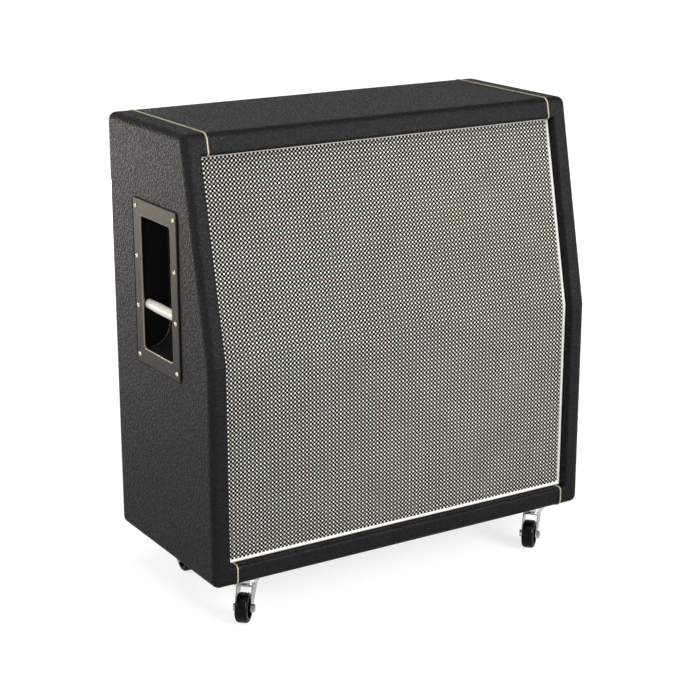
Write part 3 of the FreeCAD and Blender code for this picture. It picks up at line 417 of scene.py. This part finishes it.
def checkCloth():
    finish, tree, shader, place = newFinish(
        "checkBasketWeave",
        {"Specular IOR Level": weave["specular"], "Roughness": weave["roughness"]},
    )
    lay = addNode(tree, "ShaderNodeUVMap", uv_map="weave")
    square = addNode(tree, "ShaderNodeVectorMath", {0: lay}, operation="FLOOR")
    inside = addNode(tree, "ShaderNodeVectorMath", {0: lay}, operation="FRACTION")
    count = addNode(tree, "ShaderNodeSeparateXYZ", {"Vector": square}).outputs
    both = addNode(tree, "ShaderNodeMath", {0: count["X"], 1: count["Y"]}, operation="ADD")
    dark = addNode(tree, "ShaderNodeMath", {0: both, 1: 2.0}, operation="FLOORED_MODULO")
    # the columns take turns: one lies high and pale, the next lies deeper and is painted darker, a
    # painted shade
    deep = addNode(tree, "ShaderNodeMath", {0: count["X"], 1: 2.0}, operation="FLOORED_MODULO")
    sunk = addNode(
        tree, "ShaderNodeMapRange", {"Value": deep, **span(0.0, 1.0, 1.0, weave["deepColumnShade"])}
    )
    # each float bulges in its middle, and its yarns lie side by side
    turned = addNode(
        tree, "ShaderNodeVectorMath", {0: inside, 1: (math.pi, math.pi, 0)}, operation="MULTIPLY"
    )
    waves = addNode(tree, "ShaderNodeVectorMath", {0: turned}, operation="SINE")
    bulge = addNode(tree, "ShaderNodeSeparateXYZ", {"Vector": waves}).outputs
    pillow = addNode(tree, "ShaderNodeMath", {0: bulge["X"], 1: bulge["Y"]}, operation="MULTIPLY")
    crown = addNode(tree, "ShaderNodeMath", {0: pillow, 1: 0.5}, operation="POWER")
    beside = addNode(tree, "ShaderNodeSeparateXYZ", {"Vector": turned}).outputs["Y"]
    strands = addNode(tree, "ShaderNodeMath", {0: beside, 1: weave["yarns"]}, operation="MULTIPLY")
    ripple = addNode(tree, "ShaderNodeMath", {0: strands}, operation="SINE")
    yarns = addNode(tree, "ShaderNodeMath", {0: ripple}, operation="ABSOLUTE")
    height = addNode(
        tree, "ShaderNodeMath",
        {0: yarns, 1: weave["yarnRise"], 2: bulge["X"]}, operation="MULTIPLY_ADD",
    )
    bump = addNode(
        tree, "ShaderNodeBump",
        {"Height": height, "Distance": weave["relief"] / 1000, "Strength": 0.6},
    )
    # painted shade: the gaps round a float and those between its yarns are painted dark
    ridge = addNode(
        tree, "ShaderNodeMath",
        {0: yarns, 1: weave["yarnShade"], 2: 1 - weave["yarnShade"]}, operation="MULTIPLY_ADD",
    )
    raised = addNode(tree, "ShaderNodeMath", {0: crown, 1: ridge}, operation="MULTIPLY")
    gapShade = addNode(
        tree, "ShaderNodeMapRange",
        {"Value": raised, **span(weave["gapTo"], weave["fullFrom"], weave["gapLight"], 1.0)},
    )
    lit = addNode(tree, "ShaderNodeMath", {0: gapShade, 1: sunk}, operation="MULTIPLY")
    soil = addNode(
        tree, "ShaderNodeTexNoise",
        {"Vector": place, "Scale": perMetre(weave["soil"]), "Detail": 4.0},
    )
    pale = addNode(
        tree, "ShaderNodeValToRGB", {"Fac": soil},
        stops=[(noiseLow, weave["shade"]), (noiseHigh, weave["cream"])],
    )
    shaded = addNode(
        tree, "ShaderNodeMix", {0: 1.0, 6: pale, 7: lit}, data_type="RGBA", blend_type="MULTIPLY"
    )
    hollow = addNode(
        tree, "ShaderNodeMix",
        {0: deep, 6: hexColour(weave["blackHigh"]), 7: hexColour(weave["black"])},
        data_type="RGBA",
    )
    colour = addNode(tree, "ShaderNodeMix", {0: dark, 6: shaded, 7: hollow}, data_type="RGBA")
    setInputs(tree, shader, {"Base Color": colour, "Normal": bump})
    return finish


# coats: dark, light, roughness, size of a blot, relief; metals: colour, roughness, size of a smear
finishes = {
    "plywood": birchPlywood(),
    "pebbled_vinyl": pebbledVinyl(),
    "check_cloth": checkCloth(),
    "white_piping": evenCoat("whitePvcPiping", "#f0eee9", "#faf9f5", (0.42, 0.55), 12),
    "gold_piping": evenCoat("goldPvcPiping", "#a69a7c", "#c2b799", (0.4, 0.5), 9),
    "handle_steel": handleSteel(),
    "pale_grip": evenCoat("ivoryNylon", "#e9e6d8", "#f7f5ea", (0.38, 0.5), 14),
    "nickel_screw": brightMetal("nickelPlate", "#dcd2ba", (0.16, 0.3), 3),
    "black_screw": evenCoat("blackedSteel", "#131314", "#222223", (0.3, 0.45), 5),
    "black_sheet": evenCoat("blackEnamel", "#0e0e0f", "#171718", (0.3, 0.45), 18),
    "black_plastic": evenCoat("blackPhenolic", "#0c0c0c", "#161616", (0.45, 0.6), 8),
    "bright_nut": brightMetal("nickelNut", "#d8d6d0", (0.15, 0.3), 3),
    "basket_paint": evenCoat("greyBasketPaint", "#26272a", "#343539", (0.35, 0.5), 6, 0.2),
    "gasket_board": evenCoat("pressedFibre", "#2c2823", "#3b362f", (0.8, 0.9), 3, 0.3),
    "cone_paper": evenCoat("pulpPaper", "#1b1a19", "#292725", (0.85, 0.95), 4, 0.3),
    "motor_steel": brightMetal("zincPlate", "#c9c8c2", (0.3, 0.45), 12),
    "ferrite": evenCoat("sinteredFerrite", "#1a1a1c", "#26262a", (0.5, 0.65), 3, 0.15),
    "spider_cloth": evenCoat("phenolicCloth", "#a4782f", "#bd9144", (0.75, 0.85), 2, 0.3),
    "castor_chrome": brightMetal("chromePlate", "#f0f0ef", (0.05, 0.14), 7),
    "axle_steel": brightMetal("zincedAxle", "#d4d2cb", (0.18, 0.32), 4),
    "black_tread": mouldedRubber(),
    "lead_sheath": evenCoat("rubberSheath", "#0d0d0d", "#171717", (0.6, 0.7), 5),
}
for part in frame["record"]["subparts"]:
    node = nodes[part["node"]]
    node.data.materials.clear()
    node.data.materials.append(finishes[part["material_slot"]])
print("finishes set on", len(nodes), "nodes")


def newPiece(name, points, faces, finish, edges=()):
    mesh = bpy.data.meshes.new(name)
    mesh.from_pydata([tuple(p) for p in points], edges, faces)
    mesh.materials.append(finish)
    piece = bpy.data.objects.new(name, mesh)
    bpy.context.scene.collection.objects.link(piece)
    return piece


# Grille cloth, stretched over its frame and bent with it
clothLow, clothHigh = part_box("grille_cloth")
cloth = {
    "halfWidth": clothHigh.x,
    "low": clothLow.z,
    "high": clothHigh.z,
    "front": clothLow.y,
    "bend": 0.4581,
    "slant": math.atan2(78, 368),  # mm back over mm up
    "pillow": 0.00035,
    "wander": 0.0005,
    "columnSway": (17.0, 1.3, 41.0),  # length and start of a wave, and how slowly it changes
    "rowSway": (23.0, 0.4, 37.0),
}
clothLower = cloth["bend"] - cloth["low"]
clothReach = clothLower + (cloth["high"] - cloth["bend"]) / math.cos(cloth["slant"])


def clothPoint(across, along, lift):
    # across and along the cloth, with the lift counted from its outer face inwards
    slant = cloth["slant"]
    up = np.maximum(along - clothLower, 0.0)
    lean = np.where(along > clothLower, slant, 0.0)
    y = cloth["front"] + up * math.sin(slant) + lift * np.cos(lean)
    z = cloth["low"] + np.minimum(along, clothLower) + up * math.cos(slant) - lift * np.sin(lean)
    return np.stack([across, y, z], -1)


def sway(reach, along, across, wave):
    length, start, change = wave
    return reach * np.sin(along / length + start) * np.cos(across / change)


def makeCloth():
    square = weave["square"] / 1000
    columns = round(2 * cloth["halfWidth"] / square)
    rows = round(clothReach / square)
    # a point at each corner of the squares, and one on the crown of each
    cornerX, cornerS = np.meshgrid(np.arange(columns + 1), np.arange(rows + 1))
    crownX, crownS = np.meshgrid(np.arange(columns) + 0.5, np.arange(rows) + 0.5)
    gridX = np.concatenate([cornerX.ravel(), crownX.ravel()])
    gridS = np.concatenate([cornerS.ravel(), crownS.ravel()])
    sunk = np.concatenate([np.ones(cornerX.size), np.zeros(crownX.size)]) * cloth["pillow"]
    across = (gridX / columns * 2 - 1) * cloth["halfWidth"]
    along = gridS / rows * clothReach
    points = clothPoint(across, along, sunk)
    faces = []
    step = columns + 1
    for r in range(rows):
        for c in range(columns):
            first = r * step + c
            ring = (first, first + 1, first + 1 + step, first + step)
            crown = cornerX.size + r * columns + c
            faces += [(ring[i], ring[(i + 1) % 4], crown) for i in range(4)]
    piece = newPiece("grilleCloth", points, faces, finishes["check_cloth"])
    # the threads wander a little, so that their rows aren't ruled lines
    drift = cloth["wander"] / square
    u = gridX + sway(drift, gridS, gridX, cloth["columnSway"])
    v = gridS + sway(drift, gridX, gridS, cloth["rowSway"])
    weaveMap = piece.data.uv_layers.new(name="weave")
    corners = np.empty(len(piece.data.loops), np.int32)
    piece.data.loops.foreach_get("vertex_index", corners)
    flat = np.stack([u[corners], v[corners]], -1).astype(np.float32)
    weaveMap.data.foreach_set("uv", flat.ravel())
    piece.data.shade_smooth()
    return piece


grilleCloth = makeCloth()
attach(grilleCloth, "cabinet")
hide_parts("grille_cloth")
print("grille cloth,", len(grilleCloth.data.polygons), "faces")


# Geometry Nodes pieces: screws set on points, and beads that follow a line
sharpFrom = math.radians(38)


def newTree(name, sizes):
    tree = bpy.data.node_groups.new(name, "GeometryNodeTree")
    tree.interface.new_socket("Line", in_out="INPUT", socket_type="NodeSocketGeometry")
    for label in sizes:
        tree.interface.new_socket(label, in_out="INPUT", socket_type="NodeSocketFloat")
    tree.interface.new_socket("Pieces", in_out="OUTPUT", socket_type="NodeSocketGeometry")
    return tree, addNode(tree, "NodeGroupInput").outputs


def endTree(tree, shape, finish):
    real = addNode(tree, "GeometryNodeRealizeInstances", {0: shape})
    coated = addNode(tree, "GeometryNodeSetMaterial", {"Geometry": real, "Material": finish})
    addNode(tree, "NodeGroupOutput", {0: coated})


def growPiece(piece, tree, sizes):
    # the piece's points or lines become the finished mesh; sizes in mm go to the tree's inputs
    seed = piece.data
    grown = piece.modifiers.new("grown", "NODES")
    grown.node_group = tree
    for item in tree.interface.items_tree:
        if item.name in sizes:
            grown[item.identifier] = sizes[item.name] / 1000
    evaluated = piece.evaluated_get(bpy.context.evaluated_depsgraph_get())
    mesh = bpy.data.meshes.new_from_object(evaluated)
    piece.modifiers.remove(grown)
    piece.data = mesh
    bpy.data.meshes.remove(seed)
    mesh.shade_smooth()
    mesh.set_sharp_from_angle(angle=sharpFrom)
    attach(piece, "cabinet")
    print(piece.name, len(mesh.polygons), "faces")


# Screws: domed heads with a cross recess, each turned as the driver left it
def screwTree(name, sizes, finish):
    tree, given = newTree(name, sizes)
    ball = addNode(
        tree, "GeometryNodeMeshUVSphere", {"Segments": 24, "Rings": 12, "Radius": 1.0}
    )
    place = addNode(tree, "GeometryNodeInputPosition")
    upper = addNode(
        tree, "ShaderNodeVectorMath", {0: place, 1: (-1, -1, 0)}, operation="MAXIMUM"
    )
    scale = addNode(
        tree, "ShaderNodeCombineXYZ",
        {"X": given["Head Radius"], "Y": given["Head Radius"], "Z": given["Head Rise"]},
    )
    domed = addNode(tree, "ShaderNodeVectorMath", {0: upper, 1: scale}, operation="MULTIPLY")
    dome = addNode(tree, "GeometryNodeSetPosition", {"Geometry": ball, "Position": domed})
    head = addNode(
        tree, "GeometryNodeMeshBoolean", {"Mesh 1": dome}, operation="DIFFERENCE", solver="EXACT"
    )
    # each bar of the cross is as high as the head, and its foot is the floor of the recess
    above = addNode(tree, "ShaderNodeMath", {0: given["Head Rise"], 1: 1.5}, operation="MULTIPLY")
    sunk = addNode(
        tree, "ShaderNodeMath", {0: above, 1: given["Cross Depth"]}, operation="SUBTRACT"
    )
    at = addNode(tree, "ShaderNodeCombineXYZ", {"Z": sunk})
    cross = []
    for wide, deep in (("Cross Length", "Cross Width"), ("Cross Width", "Cross Length")):
        size = addNode(
            tree, "ShaderNodeCombineXYZ",
            {"X": given[wide], "Y": given[deep], "Z": given["Head Rise"]},
        )
        bar = addNode(tree, "GeometryNodeMeshCube", {"Size": size})
        cross.append(addNode(tree, "GeometryNodeTransform", {"Geometry": bar, "Translation": at}))
    recess = addNode(tree, "GeometryNodeMeshBoolean", operation="UNION", solver="EXACT")
    for bar in cross:
        setInputs(tree, recess, {"Mesh 2": bar})
    setInputs(tree, head, {"Mesh 2": recess})
    facing = addNode(
        tree, "GeometryNodeInputNamedAttribute", {"Name": "facing"}, data_type="FLOAT_VECTOR"
    )
    outward = addNode(tree, "FunctionNodeAlignRotationToVector", {"Vector": facing}, axis="Z")
    chance = addNode(tree, "FunctionNodeRandomValue", {"Seed": 7}, data_type="FLOAT")
    angle = addNode(tree, "ShaderNodeMath", {0: chance, 1: math.pi}, operation="MULTIPLY")
    twist = addNode(tree, "FunctionNodeAxisAngleToRotation", {"Axis": (0, 0, 1), "Angle": angle})
    turn = addNode(
        tree, "FunctionNodeRotateRotation", {0: outward, 1: twist}, rotation_space="LOCAL"
    )
    heads = addNode(
        tree, "GeometryNodeInstanceOnPoints",
        {"Points": given["Line"], "Instance": head, "Rotation": turn},
    )
    endTree(tree, heads, finish)
    return tree


def setScrews(name, spots, facings, sizes, slotName):
    piece = newPiece(name, spots, [], finishes[slotName])
    facing = piece.data.attributes.new("facing", "FLOAT_VECTOR", "POINT")
    facing.data.foreach_set("vector", np.array(facings, np.float32).ravel())
    growPiece(piece, screwTree(name + "Tree", sizes, finishes[slotName]), sizes)
    return piece


# the face plates' screws: two columns of four on each side
handleScrew = {
    "face": 0.387,
    "aside": 0.07025,
    "step": 0.087,
    "sizes": {
        "Head Radius": 4.2, "Head Rise": 2.6,
        "Cross Length": 4.4, "Cross Width": 0.9, "Cross Depth": 1.3,
    },
}
handleSpots = [
    (
        sideSign * handleScrew["face"],
        handleY + columnSign * handleScrew["aside"],
        handleZ + (level - 1.5) * handleScrew["step"],
    )
    for sideSign in (-1, 1) for columnSign in (-1, 1) for level in range(4)
]
handleFacings = [(math.copysign(1, spot[0]), 0, 0) for spot in handleSpots]
handleScrews = setScrews(
    "handleScrews", handleSpots, handleFacings, handleScrew["sizes"], "nickel_screw"
)
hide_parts("handle_screws")

# the back panel's screws: five down each side, and three more along the top and the bottom
backScrew = {
    "face": 0.1825,
    "aside": 0.357,
    "between": 0.1785,
    "low": 0.102,
    "high": 0.8,
    "step": 0.1745,
    "sizes": {
        "Head Radius": 4.5, "Head Rise": 2.0,
        "Cross Length": 4.6, "Cross Width": 0.9, "Cross Depth": 1.1,
    },
}
backSpots = [
    (sideSign * backScrew["aside"], backScrew["face"], backScrew["low"] + level * backScrew["step"])
    for sideSign in (-1, 1) for level in range(5)
]
backSpots += [
    (share * backScrew["between"], backScrew["face"], height)
    for share in (-1, 0, 1) for height in (backScrew["low"], backScrew["high"])
]
backFacings = [(0, 1, 0)] * len(backSpots)
backScrews = setScrews("backScrews", backSpots, backFacings, backScrew["sizes"], "black_screw")
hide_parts("back_screws")

# the jack dish's own four, let into its rim
jackScrew = {
    "face": 0.1832,
    "middle": 0.514,
    "ring": 0.0362,
    "sizes": {
        "Head Radius": 3.2, "Head Rise": 1.25,
        "Cross Length": 3.0, "Cross Width": 0.7, "Cross Depth": 0.6,
    },
}
jackAside = jackScrew["ring"] * math.sqrt(0.5)
jackSpots = [
    (x * jackAside, jackScrew["face"], jackScrew["middle"] + z * jackAside)
    for x in (-1, 1) for z in (-1, 1)
]
jackFacings = [(0, 1, 0)] * len(jackSpots)
setScrews("jackScrews", jackSpots, jackFacings, jackScrew["sizes"], "black_screw")


# Beads: a round section along a line with rounded corners
def beadTree(name, sizes, finish):
    tree, given = newTree(name, sizes)
    line = addNode(tree, "GeometryNodeMeshToCurve", {0: given["Line"]})
    rounded = addNode(
        tree, "GeometryNodeFilletCurve",
        {"Curve": line, "Radius": given["Corner Radius"], "Count": 12}, mode="POLY",
    )
    section = addNode(
        tree, "GeometryNodeCurvePrimitiveCircle",
        {"Resolution": 12, "Radius": given["Bead Radius"]},
    )
    bead = addNode(
        tree, "GeometryNodeCurveToMesh",
        {"Curve": rounded, "Profile Curve": section, "Fill Caps": True},
    )
    endTree(tree, bead, finish)
    return tree


def layBeads(name, lines, closed, sizes, finish):
    points = [point for line in lines for point in line]
    edges = []
    for index, line in enumerate(lines):
        first = index * len(line)
        edges += [(first + i, first + i + 1) for i in range(len(line) - 1)]
        if closed:
            edges.append((first + len(line) - 1, first))
    piece = newPiece(name, points, [], finish, edges)
    growPiece(piece, beadTree(name + "Tree", sizes, finish), sizes)


# Handle mouths: the sheet is rolled in round each opening; the roll's steel is painted lighter than
# the plate, a painted highlight along the mouth
mouth = {
    "face": 0.3843,
    "halfWidth": 0.0572,
    "halfHeight": 0.1175,
    "sizes": {"Corner Radius": 9, "Bead Radius": 2.6},
    "steel": "#7d7569",
    "roughness": (0.32, 0.46),
    "smear": 6,
}
mouthLines = [
    [
        (
            sideSign * mouth["face"],
            handleY + y * mouth["halfWidth"],
            handleZ + z * mouth["halfHeight"],
        )
        for y, z in squareCorners
    ]
    for sideSign in (-1, 1)
]
highlightSteel = brightMetal("highlightSteel", mouth["steel"], mouth["roughness"], mouth["smear"])
layBeads("mouthRolls", mouthLines, True, mouth["sizes"], highlightSteel)

# Dish corners: a thin round along each side wall, up behind the grip, painted lighter than the
# black dish as a painted highlight on its crease
scoop = {
    "wall": 0.0574,
    "low": 0.4362,
    "up": 0.505,
    "out": 0.384,
    "deep": 0.3352,
    "sizes": {"Corner Radius": 38.5, "Bead Radius": 1.1},
    "dark": "#3b3833",
    "light": "#5d5850",
    "roughness": (0.35, 0.5),
    "blot": 6,
}
scoopPath = (
    (scoop["out"], scoop["low"]), (scoop["deep"], scoop["low"]), (scoop["deep"], scoop["up"]),
)
scoopLines = [
    [(sideSign * x, handleY + wallSign * scoop["wall"], z) for x, z in scoopPath]
    for sideSign in (-1, 1) for wallSign in (-1, 1)
]
highlightEnamel = evenCoat(
    "highlightEnamel", scoop["dark"], scoop["light"], scoop["roughness"], scoop["blot"]
)
layBeads("dishCorners", scoopLines, False, scoop["sizes"], highlightEnamel)


# Leads from the jack to the drive units, each in one loose turn
lead = {"diameter": 0.0044, "stiffness": "medium", "lay": "loose"}
leadRoutes = {
    "lower": [
        (0.0031, 0.129, 0.5109), (0.0031, 0.067, 0.5109), (0.156, 0.0075, 0.465),
        (0.166, -0.0649, 0.4058), (0.166, -0.0649, 0.3498),
    ],
    "upper": [
        (0.0031, 0.129, 0.5171), (0.0031, 0.067, 0.5171), (0.15, 0.0235, 0.505),
        (0.166, -0.055, 0.4885), (0.166, -0.0446, 0.5435),
    ],
}


def makeLead(name, route):
    curve = bpy.data.curves.new(name, "CURVE")
    curve.dimensions = "3D"
    line = curve.splines.new("NURBS")
    line.points.add(len(route) - 1)
    for spot, point in zip(line.points, route):
        spot.co = (*point, 1)
    line.order_u = 3
    line.use_endpoint_u = True
    curve.resolution_u = 12
    curve.bevel_depth = lead["diameter"] / 2
    curve.bevel_resolution = 4
    curve.use_fill_caps = True
    curve.materials.append(finishes["lead_sheath"])
    piece = bpy.data.objects.new(name, curve)
    bpy.context.scene.collection.objects.link(piece)
    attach(piece, "cabinet")
    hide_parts("speaker_leads")


for level, route in leadRoutes.items():
    for sideName, sideSign in (("Left", -1), ("Right", 1)):
        makeLead(level + sideName + "Lead", [(sideSign * x, y, z) for x, y, z in route])


# Stage: pale floor that keeps a soft shadow, white to the camera and in reflections
stage = {
    "floorSize": 14.0,
    "floorAlbedo": 0.34,
    "floorGlow": 0.77,
    "mirrorGlow": 0.3,
    "fadeFrom": 0.8,
    "fadeTo": 2.0,
    "ambient": 0.3,
    "backdropTo": 0.06,
    "ceilingFrom": 0.32,
    "ceiling": 0.2,
}


def backdropRays(tree):
    # rays straight from the camera or through glass, and those off a gloss
    ray = addNode(tree, "ShaderNodeLightPath").outputs
    straight = addNode(
        tree, "ShaderNodeMath",
        {0: ray["Is Camera Ray"], 1: ray["Is Transmission Ray"]}, operation="MAXIMUM",
    )
    return straight, ray["Is Glossy Ray"]


def paleFloor():
    finish = bpy.data.materials.new("paleFloor")
    finish.use_nodes = True
    tree = finish.node_tree
    tree.nodes.clear()
    straight, glossy = backdropRays(tree)
    # away from the object the lamps reach the floor less, so it glows more there
    spot = addNode(tree, "ShaderNodeTexCoord").outputs["Object"]
    reach = addNode(tree, "ShaderNodeVectorMath", {0: spot}, operation="LENGTH").outputs["Value"]
    fade = (stage["fadeFrom"], stage["fadeTo"])
    level = addNode(
        tree, "ShaderNodeMapRange", {"Value": reach, **span(*fade, stage["floorGlow"], 1.0)}
    )
    mirror = addNode(
        tree, "ShaderNodeMapRange", {"Value": reach, **span(*fade, stage["mirrorGlow"], 1.0)}
    )
    seen = addNode(tree, "ShaderNodeMath", {0: straight, 1: level}, operation="MULTIPLY")
    mirrored = addNode(tree, "ShaderNodeMath", {0: glossy, 1: mirror}, operation="MULTIPLY")
    shown = addNode(tree, "ShaderNodeMath", {0: seen, 1: mirrored}, operation="MAXIMUM")
    diffuse = addNode(
        tree, "ShaderNodeBsdfDiffuse", {"Color": [stage["floorAlbedo"]] * 3 + [1.0]}
    )
    glow = addNode(tree, "ShaderNodeEmission", {"Strength": shown})
    lit = addNode(tree, "ShaderNodeAddShader", {0: diffuse, 1: glow})
    addNode(tree, "ShaderNodeOutputMaterial", {"Surface": lit})
    return finish


def studioWorld():
    world = bpy.data.worlds.new("studio")
    world.use_nodes = True
    tree = world.node_tree
    tree.nodes.clear()
    straight, glossy = backdropRays(tree)
    # reflections show the white backdrop low down and a dim ceiling above it
    way = addNode(tree, "ShaderNodeTexCoord").outputs["Generated"]
    height = addNode(tree, "ShaderNodeSeparateXYZ", {"Vector": way}).outputs["Z"]
    edge = (stage["backdropTo"], stage["ceilingFrom"])
    room = addNode(
        tree, "ShaderNodeMapRange", {"Value": height, **span(*edge, 1.0, stage["ceiling"])}
    )
    mirrored = addNode(tree, "ShaderNodeMath", {0: glossy, 1: room}, operation="MULTIPLY")
    shown = addNode(tree, "ShaderNodeMath", {0: straight, 1: mirrored}, operation="MAXIMUM")
    strength = addNode(
        tree, "ShaderNodeMath", {0: shown, 1: stage["ambient"]}, operation="MAXIMUM"
    )
    sky = addNode(
        tree, "ShaderNodeBackground", {"Color": hexColour("#ffffff"), "Strength": strength}
    )
    addNode(tree, "ShaderNodeOutputWorld", {"Surface": sky})
    return world


floorPoints = [(x * stage["floorSize"], y * stage["floorSize"], 0) for x, y in squareCorners]
floor = newPiece("floor", floorPoints, [(0, 1, 2, 3)], paleFloor())
bpy.context.scene.world = studioWorld()

lamps = {
    "sideKey": {"at": (-2.4, -0.35, 1.5), "size": 0.8, "power": 20},
    "sideSheen": {"at": (-1.2, 1.8, 0.62), "size": 0.5, "power": 12, "colour": "#fff5e8"},
    "frontFill": {"at": (1.5, -4.2, 2.5), "size": 2.6, "power": 225},
    "overhead": {"at": (-0.8, 0.2, 3.6), "size": 2.0, "power": 30},
    "glint": {"at": (-0.2, -2.4, 3.4), "size": 0.5, "power": 18},
    "backFill": {"at": (1.2, 3.4, 0.42), "size": 0.9, "power": 55},
}
lampTarget = Vector((0, 0, 0.45))
for lampName, lamp in lamps.items():
    light = bpy.data.lights.new(lampName, "AREA")
    light.shape = "DISK"
    light.size = lamp["size"]
    light.energy = lamp["power"]
    light.color = hexColour(lamp.get("colour", "#ffffff"))[:3]
    holder = bpy.data.objects.new(lampName, light)
    holder.location = lamp["at"]
    aim = lampTarget - Vector(lamp["at"])
    holder.rotation_euler = aim.to_track_quat("-Z", "Y").to_euler()
    bpy.context.scene.collection.objects.link(holder)

# Camera at the photograph's angle
view = {
    "at": (-1.6402, -2.6203, 1.320),
    "tilt": 73.2,
    "turn": -31.94,
    "lens": 91.91,
    "sensor": 36,
    "farEnd": 60,
}
lens = bpy.data.cameras.new("camera")
lens.sensor_width = view["sensor"]
lens.lens = view["lens"]
lens.clip_end = view["farEnd"]
camera = bpy.data.objects.new("camera", lens)
camera.location = view["at"]
camera.rotation_euler = (math.radians(view["tilt"]), 0, math.radians(view["turn"]))
bpy.context.scene.collection.objects.link(camera)
bpy.context.scene.camera = camera
bpy.context.scene.view_settings.view_transform = "Standard"
print("stage, lamps and camera set")
